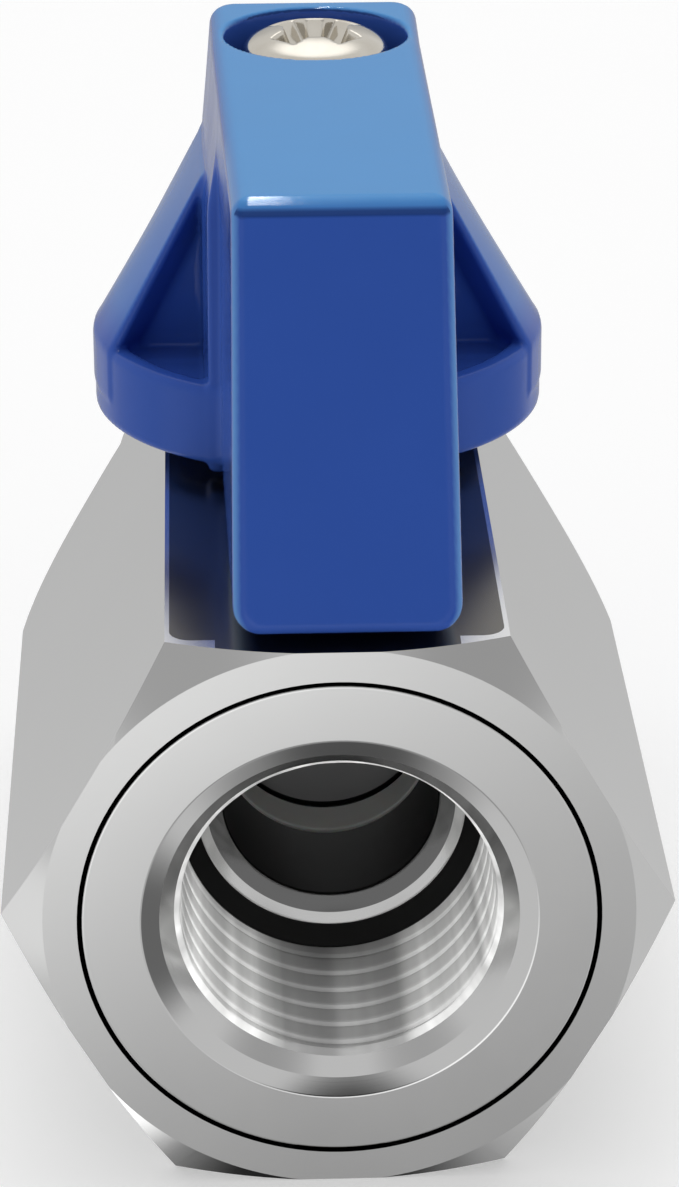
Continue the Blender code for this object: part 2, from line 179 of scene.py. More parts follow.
ENAMEL_PAINTED_EDGE_LIGHT = (0.1, 0.25, 0.56)       # painted highlight on the grip's upright edges
ENAMEL_PAINTED_TOP_LIGHT = (0.08, 0.315, 0.69)    # painted light on what faces up

# Camera, from the inlet side, a little to the left and above
CAMERA_TURN, CAMERA_RISE = 2.57, 22.98   # degrees
CAMERA_AT = (-4.601, -164.886, 82.648)
CAMERA_LENS = 134.28
CAMERA_SHIFT = (-0.04124, 0.00803)

# Studio. Lamps in millimetres and watts.
FLOOR_REACH, FLOOR_Z = 3.0, -0.02        # metres; millimetres, just clear of the lowest flat
FLOOR_WHITES = (0.925, 0.935)
FLOOR_GLOW = 0.16
GLINT_AT, GLINT_SIZE, GLINT_POWER = (-2.1, 12.0, 96.0), (1.9, 90.0), 0.034
MOUTH_LAMP_AT, MOUTH_AIM = (42.0, -70.0, 34.0), (0.0, -20.0, 9.0)
MOUTH_LAMP_SIZE, MOUTH_LAMP_POWER = (16.0, 16.0), 0.03
DOME_LEVEL, DOME_LEAST = 0.82, 0.02
# Each window: degrees from +Y towards +X, degrees above the horizon, half size, softness, light added
WINDOWS = (
    (0.0, 66.0, 22.0, 8.0, 0.9),       # soft box over the back
    (190.0, -14.0, 10.0, 10.0, 0.85),  # light floor in front, a little to the left
    (180.0, -44.0, 16.0, 8.0, -0.4),   # the object's own shade in front and under it
    (180.0, -86.0, 26.0, 10.0, -0.5),
    (0.0, -74.0, 11.0, 9.0, -0.4),     # and behind it
    (180.0, -73.0, 9.0, 6.0, -0.2),
    (180.0, 8.0, 12.0, 6.0, -0.8),     # dark room behind the camera
    (231.0, 42.0, 18.0, 12.0, -0.28),  # and to both sides, higher up
    (129.0, 42.0, 18.0, 12.0, -0.34),
    (134.0, -25.0, 17.0, 8.0, -0.62),  # dark to the right of the camera
    (-72.0, -20.0, 14.0, 12.0, -0.2),  # duller walls on both sides
    (68.0, -20.0, 14.0, 12.0, -0.35),
    (-103.0, -25.0, 9.0, 8.0, 0.3),    # light floor on the left
    (-79.0, -57.0, 9.0, 8.0, 1.5),
    (0.0, -10.0, 26.0, 12.0, -0.32),   # far floor
)


def apply_modifiers(obj):
    """Makes what the modifiers give the object's own mesh."""
    graph = bpy.context.evaluated_depsgraph_get()
    made = bpy.data.meshes.new_from_object(obj.evaluated_get(graph))
    obj.modifiers.clear()
    old, obj.data = obj.data, made
    bpy.data.meshes.remove(old)


def raw_object(name, data):
    """An object with this mesh, lamp or camera, in the scene."""
    made = bpy.data.objects.new(name, data)
    bpy.context.scene.collection.objects.link(made)
    return made


def combine(target, tool, operation="DIFFERENCE"):
    """Applies one Boolean, and removes its tool."""
    step = target.modifiers.new("combine", "BOOLEAN")
    step.operation = operation
    step.solver = "EXACT"
    step.object = tool
    apply_modifiers(target)
    bpy.data.objects.remove(tool)


def break_edges(obj, width):
    """Bevels the edges that turn by more than 25 degrees."""
    step = obj.modifiers.new("edges", "BEVEL")
    step.width = width
    step.segments = 2
    step.limit_method = "ANGLE"
    step.angle_limit = math.radians(25.0)
    apply_modifiers(obj)


def finish_piece(obj, finish, body, nodes, sharp=32.0):
    """Scales a piece to metres, shades it, and hands it to the frame in place of its CAD nodes."""
    mesh = obj.data
    mesh.transform(Matrix.Scale(MM, 4))
    mesh.name = obj.name
    mesh.materials.clear()
    mesh.materials.append(finish)
    mesh.shade_smooth()
    mesh.set_sharp_from_angle(angle=math.radians(sharp))
    weighted = obj.modifiers.new("normals", "WEIGHTED_NORMAL")
    weighted.keep_sharp = True
    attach(obj, body)
    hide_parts(*nodes)
    return obj


# Meshes from grids of points


def outward_mesh(name, points, faces):
    """A mesh whose faces all look outwards."""
    mesh = bpy.data.meshes.new(name)
    mesh.from_pydata(points.tolist(), [], faces)
    bm = bmesh.new()
    bm.from_mesh(mesh)
    bmesh.ops.recalc_face_normals(bm, faces=bm.faces)
    bm.to_mesh(mesh)
    bm.free()
    return mesh


def faces_of_grid(rows, columns, start):
    """The quads of a grid of points whose first has the number start."""
    index = start + np.arange(rows * columns).reshape(rows, columns)
    return np.stack([index[:-1, :-1], index[:-1, 1:], index[1:, 1:], index[1:, :-1]], -1).reshape(-1, 4)


def mesh_of(name, points, quads):
    """A mesh with its points welded and without the faces that this collapses."""
    _, first, index = np.unique(
        np.round(points / WELD).astype(np.int64), axis=0, return_index=True, return_inverse=True
    )
    quads = index.reshape(-1)[quads]
    ahead = np.roll(quads, -1, axis=1)
    whole = (quads != ahead).all(1) & (quads[:, 0] != quads[:, 2]) & (quads[:, 1] != quads[:, 3])
    faces = quads[whole].tolist()
    for quad in quads[~whole]:
        corners = list(dict.fromkeys(quad.tolist()))
        if len(corners) == 3:
            faces.append(corners)
    return outward_mesh(name, points[first], faces)


def object_of(name, *grids):
    """One closed object from grids of points, shape (rows, columns, 3), whose borders meet."""
    quads, count = [], 0
    for grid in grids:
        quads.append(faces_of_grid(grid.shape[0], grid.shape[1], count))
        count += grid.shape[0] * grid.shape[1]
    points = np.concatenate([grid.reshape(-1, 3) for grid in grids])
    return raw_object(name, mesh_of(name, points, np.concatenate(quads)))


def rounded(outline, closed=True, steps=4):
    """The outline with each corner (a, b, radius) turned into a short curve."""
    corners = [np.array(corner[:2], float) for corner in outline]
    found = []
    for i, corner in enumerate(outline):
        here = corners[i]
        inner = closed or 0 < i < len(outline) - 1
        if len(corner) < 3 or not inner:
            found.append(here)
            continue
        to_last = corners[i - 1] - here
        to_next = corners[(i + 1) % len(corners)] - here
        reach = min(corner[2], 0.45 * np.linalg.norm(to_last), 0.45 * np.linalg.norm(to_next))
        start = here + to_last / np.linalg.norm(to_last) * reach
        end = here + to_next / np.linalg.norm(to_next) * reach
        for t in np.linspace(0, 1, steps + 1):
            found.append((1 - t) ** 2 * start + 2 * t * (1 - t) * here + t**2 * end)
    return np.array(found)


def turned(outline, bore_z=None, segments=AROUND, closed=True):
    """A grid turned from (radius, place) points: about the waterway, or about the stem without bore_z."""
    outline = np.asarray(outline, float)
    if closed:
        outline = np.concatenate([outline, outline[:1]])
    angle = np.linspace(0, math.tau, segments + 1)
    radius, place = outline[:, :1], outline[:, 1:]
    across, up = radius * np.cos(angle), radius * np.sin(angle)
    along = np.broadcast_to(place, across.shape)
    if bore_z is None:
        return np.stack([across, up, along], -1)
    return np.stack([across, along, up + bore_z], -1)


def arc(centre, half_axes, start, stop, steps):
    """Points on part of an ellipse, between two angles in degrees."""
    angle = np.radians(np.linspace(start, stop, steps + 1))
    across = centre[0] + half_axes[0] * np.cos(angle)
    up = centre[1] + half_axes[1] * np.sin(angle)
    return np.stack([across, up], -1)


def thread_form(phase):
    """0 on the thread's crest and 1 at its root, over one pitch."""
    away = np.abs(2 * (phase % 1.0) - 1)
    ramp = np.clip((away - 0.7) / 0.27, 0, 1)
    return 0.55 * ramp + 0.45 * ramp * ramp * (3 - 2 * ramp)


def threaded_wall(face_y, inwards, depth, bore_z):
    """A right-hand internal thread whose rows follow the helix, from the first countersink to its floor."""
    first = LEAD_IN[0][1]
    turns = int(math.ceil(depth / PITCH)) + 1
    rows = np.arange(-ROWS_PER_PITCH, turns * ROWS_PER_PITCH + 1)[:, None]
    angle = np.linspace(0, math.tau, AROUND + 1)[None, :]
    share = inwards * angle / math.tau
    run = np.clip((rows / ROWS_PER_PITCH - share) * PITCH, first, depth)
    fade = np.clip((depth - 0.3 - run) / RUN_OUT, 0, 1)
    radius = THREAD_MINOR + (THREAD_MAJOR - THREAD_MINOR) * fade * thread_form(run / PITCH + share)
    (outer_r, outer_at), (inner_r, inner_at) = LEAD_IN
    slope = (inner_r - outer_r) / (inner_at - outer_at)
    radius = np.maximum(radius, outer_r + slope * (run - outer_at))
    angle = np.broadcast_to(angle, run.shape)
    across, up = radius * np.cos(angle), radius * np.sin(angle) + bore_z
    return np.stack([across, face_y + inwards * run, up], -1)


# Distance fields, in millimetres: negative inside


def meet(radius, *fields):
    """What all the fields share, with its edges rounded."""
    made = fields[0]
    for field in fields[1:]:
        over = np.hypot(np.maximum(made + radius, 0), np.maximum(field + radius, 0))
        made = np.minimum(np.maximum(made, field), -radius) + over
    return made


def join(radius, *fields):
    """All the fields together, with fillets where they meet."""
    return -meet(radius, *[-field for field in fields])


def blend_in(width, first, second):
    """Two fields together, with a fillet that fades out with its width."""
    near = np.maximum(width - np.abs(first - second), 0) / width
    return np.minimum(first, second) - near * near * width / 4


def without(radius, field, *tools):
    """The field less its tools, with rounded edges."""
    return meet(radius, field, *[-tool for tool in tools])


def along(table, place):
    """The value at this place on a line through the table's (place, value) points."""
    places, values = zip(*table)
    return np.interp(place, places, values)


def surface_of(name, field, low, high, step):
    """The field's zero surface by surface nets, whose points are then drawn exactly onto it."""
    axes = [np.arange(a - 1.5 * step, b + 2.5 * step, step) for a, b in zip(low, high)]
    value = np.stack([field(*np.meshgrid([x], axes[1], axes[2], indexing="ij"))[0] for x in axes[0]])
    cells = tuple(n - 1 for n in value.shape)
    total, hits = np.zeros((*cells, 3)), np.zeros(cells)
    origin = np.array([a[0] for a in axes])
    crossings = []
    for axis in range(3):
        size = list(value.shape)
        size[axis] -= 1
        here = np.take(value, range(size[axis]), axis)
        ahead = np.take(value, range(1, size[axis] + 1), axis)
        crossed = (here < 0) != (ahead < 0)
        share = np.where(crossed, here / np.where(crossed, here - ahead, 1), 0)
        crossings.append((crossed, here < 0))
        others = [k for k in range(3) if k != axis]
        for shift_a in (0, 1):
            for shift_b in (0, 1):
                part = [slice(None)] * 3
                part[others[0]] = slice(shift_a, shift_a + cells[others[0]])
                part[others[1]] = slice(shift_b, shift_b + cells[others[1]])
                mask = crossed[tuple(part)]
                hits += mask
                total[..., axis] += share[tuple(part)]
                total[..., others[0]] += mask * shift_a
                total[..., others[1]] += mask * shift_b
    active = hits > 0
    number = np.full(cells, -1)
    number[active] = np.arange(active.sum())
    corner = np.argwhere(active)
    points = origin + step * (corner + total[active] / hits[active][:, None])
    points = draw_onto(field, points, step)
    quads = []
    for axis, (crossed, outwards) in enumerate(crossings):
        places = np.argwhere(crossed)
        flip = outwards[tuple(places.T)]
        first, second = [k for k in range(3) if k != axis]
        ring = []
        for shift_a, shift_b in ((1, 1), (0, 1), (0, 0), (1, 0)):
            cell = places.copy()
            cell[:, first] -= shift_a
            cell[:, second] -= shift_b
            ring.append(number[tuple(cell.T)])
        quad = np.stack(ring, -1)
        quads.append(np.where(flip[:, None], quad, quad[:, ::-1]))
    return raw_object(name, outward_mesh(name, points, np.concatenate(quads).tolist()))


def draw_onto(field, points, step, rounds=4, probe=0.02):
    """Newton steps along the field's slope, each kept short."""
    for _ in range(rounds):
        value = field(*points.T)
        slope = np.stack(
            [
                (field(*(points + probe * unit).T) - field(*(points - probe * unit).T)) / (2 * probe)
                for unit in np.eye(3)
            ],
            -1,
        )
        steep = np.maximum((slope**2).sum(-1), 0.1)
        move = np.clip(value / steep, -0.4 * step, 0.4 * step)
        points = points - move[:, None] * slope
    return points


# Materials


class Nodes:
    """Short calls to add nodes to a tree."""

    def __init__(self, tree):
        self.tree = tree

    def add(self, kind, inputs=None, **settings):
        """A node, its settings, and its inputs as values or as the outputs that feed them."""
        made = self.tree.nodes.new(kind)
        for key, value in settings.items():
            setattr(made, key, value)
        for socket, value in (inputs or {}).items():
            if isinstance(value, bpy.types.NodeSocket):
                self.tree.links.new(value, made.inputs[socket])
            else:
                made.inputs[socket].default_value = value
        return made

    def math(self, operation, first, second=0.0):
        """One sum on two values or outputs."""
        return self.add("ShaderNodeMath", {0: first, 1: second}, operation=operation).outputs[0]

    def ramp(self, value, start, stop, low=0.0, high=1.0, **settings):
        """Low up to start, high from stop on, and straight between them unless set otherwise."""
        inputs = {"Value": value, "From Min": start, "From Max": stop, "To Min": low, "To Max": high}
        return self.add("ShaderNodeMapRange", inputs, **settings).outputs[0]


class Recipe(Nodes):
    """A material's node tree with its Principled shader."""

    def __init__(self, name, colour, metallic, roughness):
        self.made = bpy.data.materials.new(name)
        self.made.use_nodes = True
        super().__init__(self.made.node_tree)
        self.shader = self.tree.nodes["Principled BSDF"]
        self.set("Base Color", (*colour, 1.0))
        self.set("Metallic", metallic)
        self.set("Roughness", roughness)
        self.made.diffuse_color = (*colour, 1.0)

    def set(self, socket, value):
        """One value for the whole surface."""
        self.shader.inputs[socket].default_value = value

    def feed(self, output, socket):
        """Links a node's output to a socket of the shader."""
        self.tree.links.new(output, self.shader.inputs[socket])

    def split(self, kind):
        """The x, y and z of the object's coordinates or of its normal."""
        spot = self.add("ShaderNodeTexCoord").outputs[kind]
        return self.add("ShaderNodeSeparateXYZ", {0: spot}).outputs

    def times(self, first, *others):
        """The product of masks."""
        for other in others:
            first = self.math("MULTIPLY", first, other)
        return first

    def noise(self, scale, detail=3.0, roughness=0.5, stretch=(1, 1, 1)):
        """A noise over the object's coordinates, each multiplied by its stretch."""
        spot = self.add("ShaderNodeTexCoord").outputs["Object"]
        where = self.add("ShaderNodeMapping", {"Vector": spot, "Scale": stretch}).outputs[0]
        inputs = {"Vector": where, "Scale": scale, "Detail": detail, "Roughness": roughness}
        return self.add("ShaderNodeTexNoise", inputs).outputs[0]

    def spread(self, value, low, high):
        """Maps the middle of a noise onto low to high."""
        return self.ramp(value, 0.3, 0.7, low, high)

    def bump(self, height, distance):
        """Feeds the shader's normal with a height that stands this many metres up."""
        node = self.add("ShaderNodeBump", {"Height": height, "Distance": distance, "Strength": 1.0})
        self.feed(node.outputs[0], "Normal")

    def from_waterway(self, bore_z):
        """Distance from the waterway's axis, and place along it, in metres."""
        x, y, z = self.split("Object")
        return self.length(x, self.math("SUBTRACT", z, bore_z)), y

    def length(self, first, second):
        """The length of a vector from its two parts."""
        squares = self.math("ADD", self.math("POWER", first, 2.0), self.math("POWER", second, 2.0))
        return self.math("SQRT", squares)

    def streaks(self, bore_z):
        """Streaks along the waterway, 0 to 1: a noise over the angle about it, with painted shade along the
        bottom.
        """
        x, _, z = self.split("Object")
        angle = self.math("ARCTAN2", x, self.math("SUBTRACT", bore_z, z))
        inputs = {"W": angle, "Scale": 3.2, "Detail": 2.5}
        noise = self.add("ShaderNodeTexNoise", inputs, noise_dimensions="1D").outputs[0]
        away = self.math("ABSOLUTE", self.math("SUBTRACT", angle, BOTTOM_SHADE_MIDDLE))
        side = self.ramp(away, *BOTTOM_SHADE_SIDE, BOTTOM_SHADE_LEAST, 1.0)
        return self.times(side, self.spread(noise, 0.35, 1.0))

    def below(self, value, limit):
        """1 where the value, in metres, is under a limit in millimetres, else 0."""
        return self.math("LESS_THAN", value, limit * MM)

    def over(self, value, limit):
        """1 where the value, in metres, is past a limit in millimetres, else 0."""
        return self.math("GREATER_THAN", value, limit * MM)

    def mix(self, share, first, second):
        """Blends two colours, each a value or an output, by a share from 0 to 1."""
        node = self.add("ShaderNodeMix", data_type="RGBA")
        if isinstance(share, bpy.types.NodeSocket):
            self.tree.links.new(share, node.inputs["Factor"])
        else:
            node.inputs["Factor"].default_value = share
        for socket, colour in ((node.inputs[6], first), (node.inputs[7], second)):
            if isinstance(colour, bpy.types.NodeSocket):
                self.tree.links.new(colour, socket)
            else:
                socket.default_value = (*colour, 1.0)
        return node.outputs[2]

    def turning_marks(self, radius, run, spacing):
        """A noise over radius and length: the rings that a lathe tool leaves."""
        rings = self.math("MULTIPLY", self.math("ADD", radius, run), 1 / spacing)
        inputs = {"W": rings, "Scale": 1.0, "Detail": 2.0}
        return self.add("ShaderNodeTexNoise", inputs, noise_dimensions="1D").outputs[0]


def turned_steel(name, colour, roughness, bore_z, marks, spacing, relief=None):
    """Bright turned stainless steel with fine rings, with painted shade in the waterway's bore and on the
    step ring before it.

    With the place along Y of a thread's relief, the thread is streaked and matt with painted shade along
    its bottom, and the relief gets painted shade.
    """
    recipe = Recipe(name, colour, 1.0, roughness)
    radius, run = recipe.from_waterway(bore_z)
    bright = recipe.mix(recipe.noise(90.0), tuple(c * 0.95 for c in colour), colour)
    rough = recipe.spread(recipe.noise(240.0, 4.0, 0.6), roughness * 0.85, roughness * 1.2)
    dull_shaded_bore = recipe.below(radius, WATERWAY_R + 0.05)
    # painted shade in the bore and on the step ring before it
    shade = recipe.mix(dull_shaded_bore, recipe.mix(recipe.below(radius, STEP_R), bright, STEP_PAINTED_SHADE), BORE_PAINTED_SHADE)
    rough = recipe.math("ADD", rough, recipe.times(dull_shaded_bore, 0.3))
    if relief is not None:
        cut = recipe.times(recipe.below(run, relief), recipe.below(radius, THREAD_MAJOR + 0.02))
        metal = recipe.math("SUBTRACT", 1.0, recipe.times(cut, TAPPED_DULLNESS))
        recipe.feed(metal, "Metallic")
        # the thread's streaks, with painted shade along its bottom
        shade = recipe.mix(cut, shade, recipe.mix(recipe.streaks(bore_z), *TAPPED))
        rough = recipe.math("ADD", rough, recipe.times(cut, 0.3))
        ring = recipe.times(recipe.over(run, relief), recipe.over(radius, RELIEF_R + 0.02))
        ring = recipe.times(ring, recipe.below(radius, THREAD_MINOR + 0.02))
        # painted shade in the relief
        shade = recipe.mix(ring, shade, RELIEF_PAINTED_SHADE)
        rough = recipe.math("ADD", rough, recipe.times(ring, 0.25))
    recipe.feed(shade, "Base Color")
    recipe.feed(rough, "Roughness")
    recipe.bump(recipe.turning_marks(radius, run, spacing), marks)
    return recipe.made


def painted_shade_panel(recipe):
    """1 on the painted shade in the middle of the top flat, whose front corners are round, else 0."""
    x, y, _ = recipe.split("Object")
    across = recipe.math("ABSOLUTE", x)
    half, front, corner = (side * MM for side in TOP_PANEL)
    past = recipe.math("MAXIMUM", recipe.math("SUBTRACT", across, half), 0.0)
    short = recipe.math("MAXIMUM", recipe.math("SUBTRACT", front, y), 0.0)
    inside = recipe.math("LESS_THAN", recipe.length(past, short), corner)
    return recipe.math("MAXIMUM", inside, recipe.below(across, TOP_MIDDLE))


def drawn_steel(name, colour, roughness, bore_z):
    """Hexagon bar: satin flats with long faint lines, painted shade and a painted rim highlight on the top
    flat, and painted shade in the bore.
    """
    recipe = Recipe(name, colour, 1.0, roughness)
    radius, _ = recipe.from_waterway(bore_z)
    _, facing_y, facing_z = recipe.split("Normal")
    flat = recipe.math("LESS_THAN", recipe.math("ABSOLUTE", facing_y), 0.3)
    top = recipe.math("GREATER_THAN", facing_z, 0.985)
    satin = recipe.mix(recipe.noise(60.0), tuple(c * 0.95 for c in BRIGHT_BAR), BRIGHT_BAR)
    # painted shade over the middle of the top flat, and a painted highlight on its rim
    satin = recipe.mix(top, satin, recipe.mix(painted_shade_panel(recipe), TOP_RIM_PAINTED_HIGHLIGHT, TOP_PAINTED_SHADE))
    shade = recipe.mix(flat, colour, satin)
    shaded_bore = recipe.below(radius, WATERWAY_R + 0.15)
    # painted shade in the bore
    recipe.feed(recipe.mix(shaded_bore, shade, BORE_PAINTED_SHADE), "Base Color")
    rough = recipe.spread(recipe.noise(160.0, 4.0), roughness * 0.8, roughness * 1.25)
    recipe.feed(recipe.math("ADD", rough, recipe.times(top, 0.1)), "Roughness")
    recipe.bump(recipe.noise(2600.0, 3.0, 0.6, stretch=(1, 0.02, 1)), 2.5e-7)
    return recipe.made


def enamel():
    """Thick glossy blue enamel, with painted light on what faces up, a painted highlight on the grip's
    upright edges and painted shade under its top front edge.
    """
    recipe = Recipe("blue_enamel", ENAMEL, 0.0, 0.12)
    facing_x, facing_y, facing_z = recipe.split("Normal")
    x, y, z = recipe.split("Object")
    # painted light on up-facing enamel above the skirt
    above_skirt = recipe.ramp(z, (SKIRT_TOP + 0.3) * MM, (SKIRT_TOP + 1.5) * MM)
    above = recipe.times(recipe.ramp(facing_z, 0.3, 1.0), above_skirt)
    colour = recipe.mix(above, ENAMEL, ENAMEL_PAINTED_TOP_LIGHT)
    colour = recipe.mix(recipe.noise(220.0, 3.0), recipe.mix(0.06, colour, (0, 0, 0)), colour)

    # painted highlight on the nose's upright edges
    sideways = recipe.math("ABSOLUTE", facing_x)
    edge = recipe.times(recipe.ramp(sideways, 0.35, 0.8), recipe.ramp(sideways, 0.9, 0.99, 1.0, 0.0))
    on_nose = recipe.ramp(y, (ROOT_FRONT - 4.5) * MM, (ROOT_FRONT - 7.5) * MM)
    edge = recipe.times(edge, on_nose, recipe.below(recipe.math("ABSOLUTE", x), 4.6))
    colour = recipe.mix(edge, colour, ENAMEL_PAINTED_EDGE_LIGHT)

    # painted shade in a band under the grip's top front edge
    shade_band = recipe.times(recipe.ramp(facing_z, 0.24, 0.34), recipe.ramp(facing_z, 0.5, 0.68, 0.85, 0.0))
    forwards = recipe.math("LESS_THAN", facing_y, -0.6)
    shade_band = recipe.times(shade_band, forwards, recipe.over(z, NOSE_LOW + 12.0))
    colour = recipe.mix(shade_band, colour, ENAMEL_PAINTED_SHADE)
    recipe.feed(colour, "Base Color")
    recipe.feed(recipe.spread(recipe.noise(400.0), 0.09, 0.14), "Roughness")
    recipe.bump(recipe.noise(900.0, 2.0, 0.4), 5e-6)
    recipe.set("IOR", 1.22)
    return recipe.made


def nickel():
    """Bright nickel plate, a little warm, with faint scratches from the driver."""
    recipe = Recipe("nickel_plate", (0.66, 0.63, 0.56), 1.0, 0.12)
    recipe.feed(recipe.mix(recipe.noise(900.0), (0.55, 0.51, 0.44), (0.72, 0.69, 0.63)), "Base Color")
    scratch = recipe.noise(5200.0, 3.0, 0.6, stretch=(1, 0.08, 1))
    recipe.feed(recipe.spread(recipe.noise(700.0), 0.09, 0.2), "Roughness")
    recipe.bump(scratch, 1.5e-6)
    return recipe.made


def ptfe():
    """White PTFE, a little translucent."""
    recipe = Recipe("white_ptfe", (0.8, 0.8, 0.77), 0.0, 0.45)
    recipe.feed(recipe.mix(recipe.noise(500.0), (0.74, 0.74, 0.71), (0.83, 0.83, 0.8)), "Base Color")
    recipe.bump(recipe.noise(3000.0, 2.0), 2e-6)
    recipe.set("Subsurface Weight", 0.15)
    recipe.set("Subsurface Scale", 0.001)
    return recipe.made


def rubber():
    """Black rubber with a faint grain."""
    recipe = Recipe("black_rubber", (0.02, 0.02, 0.021), 0.0, 0.6)
    recipe.feed(recipe.mix(recipe.noise(800.0), (0.014, 0.014, 0.015), (0.028, 0.028, 0.03)), "Base Color")
    recipe.bump(recipe.noise(4000.0, 3.0), 4e-6)
    return recipe.made


# Pieces


def port_outline(face_y, inwards, depth):
    """The countersunk edge of a mouth, and the steps past its thread, as two open outlines."""
    edge = [(MOUTH_R, face_y), (LEAD_IN[0][0], face_y + inwards * LEAD_IN[0][1])]
    steps = ((THREAD_MINOR, 0.0), (RELIEF_R, 0.7), (STEP_R, 0.9), (WATERWAY_R, 1.2))
    floor = [(radius, face_y + inwards * (depth + run)) for radius, run in steps]
    return edge, floor


def make_end_insert(finish, front, bore_z):
    """The ring that holds the inlet's thread and, at its back, the inlet seat."""
    edge, floor = port_outline(front, 1, INLET_DEPTH)
    wall = threaded_wall(front, 1, INLET_DEPTH, bore_z)
    pocket_r, pocket_y = POCKET
    outer = [floor[0], (*floor[1], 0.05), (*floor[2], 0.05), (*floor[3], 0.12)]
    outer += [(WATERWAY_R, -pocket_y, 0.1), (pocket_r, -pocket_y, 0.05), (pocket_r, INSERT_END_Y, 0.15)]
    outer += [(INSERT_R, INSERT_END_Y, 0.4), (INSERT_R, front, 0.09), (*edge[0], 0.05), edge[1]]
    shell = turned(rounded(outer, closed=False), bore_z, closed=False)
    made = object_of("end_insert_turned", wall, shell)
    return finish_piece(made, finish, "valve_body", ["end_insert"], sharp=21.0)


def sector(name, inner, outer, start, stop, low, high):
    """A block between two radii and two angles, standing along Z."""
    angle = np.radians(np.linspace(start, stop, 13))
    ring = [(inner, low), (outer, low), (outer, high), (inner, high), (inner, low)]
    grid = np.array([[(r * math.cos(a), r * math.sin(a), z) for a in angle] for r, z in ring])
    ends = [np.array([[grid[0, i], grid[1, i]], [grid[3, i], grid[2, i]]]) for i in (0, -1)]
    return object_of(name, grid, *ends)


def block(name, low, high):
    """A box between two corners."""
    (left, front, foot), (right, back, head) = low, high
    ring = [(left, front), (right, front), (right, back), (left, back), (left, front)]
    corners = np.array([[(x, y, z) for z in (foot, head)] for x, y in ring])
    caps = [np.array([[corners[0, k], corners[1, k]], [corners[3, k], corners[2, k]]]) for k in (0, 1)]
    return object_of(name, corners, *caps)


def make_body(finish, flats, front, rear, bore_z):
    """The hexagon bar, turned at both ends, with its boss, stop lugs and bores."""
    reach = flats / math.sqrt(3)
    turns = [math.radians(60 * i) for i in range(7)]
    corners = [(reach * math.cos(turn), reach * math.sin(turn)) for turn in turns]
    sides = np.array([[(x, y, z + bore_z) for x, z in corners] for y in (front, rear)])
    caps = []
    for y in (front, rear):
        centre = (0.0, y, bore_z)
        caps.append(np.array([[(x, y, z + bore_z) for x, z in corners], [centre] * len(corners)]))
    body = object_of("valve_body_machined", sides, *caps)
    outside = [(0.0, front - 1), (FACE_R, front - 1), (FACE_R, front), (CORNER_R, front + CHAMFER)]
    shoulder = arc((SHOULDER_R, SHOULDER_Y - SHOULDER_ROUND[1]), SHOULDER_ROUND, 0, 90, 14)
    outside += [tuple(point) for point in shoulder]
    outside += [(NECK_R + 0.55, SHOULDER_Y), (NECK_R + 0.16, SHOULDER_Y + 0.16)]
    outside += [(NECK_R, SHOULDER_Y + 0.55)]
    outside += [(NECK_R, rear - 0.4), (NECK_R - 0.4, rear), (NECK_R - 0.4, rear + 1), (0.0, rear + 1)]
    combine(body, object_of("outside", turned(outside, bore_z, 180)), "INTERSECT")
    break_edges(body, BODY_EDGE)

    boss = [(0.0, flats - 2), (BOSS_R, flats - 2), (BOSS_R, BOSS_TOP, 0.3), (0.0, BOSS_TOP)]
    combine(body, object_of("boss", turned(rounded(boss), segments=AROUND_SMALL)), "UNION")
    for start in LUG_STARTS:
        lug = sector("lug", BOSS_R - 1, STOP_R, start, start + LUG_ANGLE, flats - 1.5, STOP_TOP)
        combine(body, lug, "UNION")

    edge, floor = port_outline(rear, -1, OUTLET_DEPTH)
    wall = threaded_wall(rear, -1, OUTLET_DEPTH, bore_z)
    pocket_r, pocket_y = POCKET
    inside = [edge[1], edge[0], (MOUTH_R, rear + 1), (0.0, rear + 1), (0.0, front - 1)]
    inside += [(INSERT_BORE_R, front - 1), (INSERT_BORE_R, CAVITY_Y[0]), (CAVITY_R, CAVITY_Y[0])]
    inside += [(CAVITY_R, CAVITY_Y[1]), (pocket_r, CAVITY_Y[1]), (pocket_r, pocket_y)]
    inside += [(WATERWAY_R, pocket_y), floor[3], floor[2], floor[1], floor[0]]
    combine(body, object_of("inside", wall, turned(inside, bore_z, closed=False)))
    flange_r, flange_top = FLANGE_BORE
    bore = [(0.0, bore_z), (flange_r, bore_z), (flange_r, flange_top), (STEM_BORE_R, flange_top)]
    bore += [(STEM_BORE_R, BOSS_TOP + 1), (0.0, BOSS_TOP + 1)]
    combine(body, object_of("stem_bore", turned(bore, segments=AROUND_SMALL)))
    return finish_piece(body, finish, "valve_body", ["body"], sharp=28.0)


def ring_outline(inner, outer, low, high, edge):
    """The section of a flat ring with its four corners rounded."""
    return rounded([(inner, low, edge), (outer, low, edge), (outer, high, edge), (inner, high, edge)])


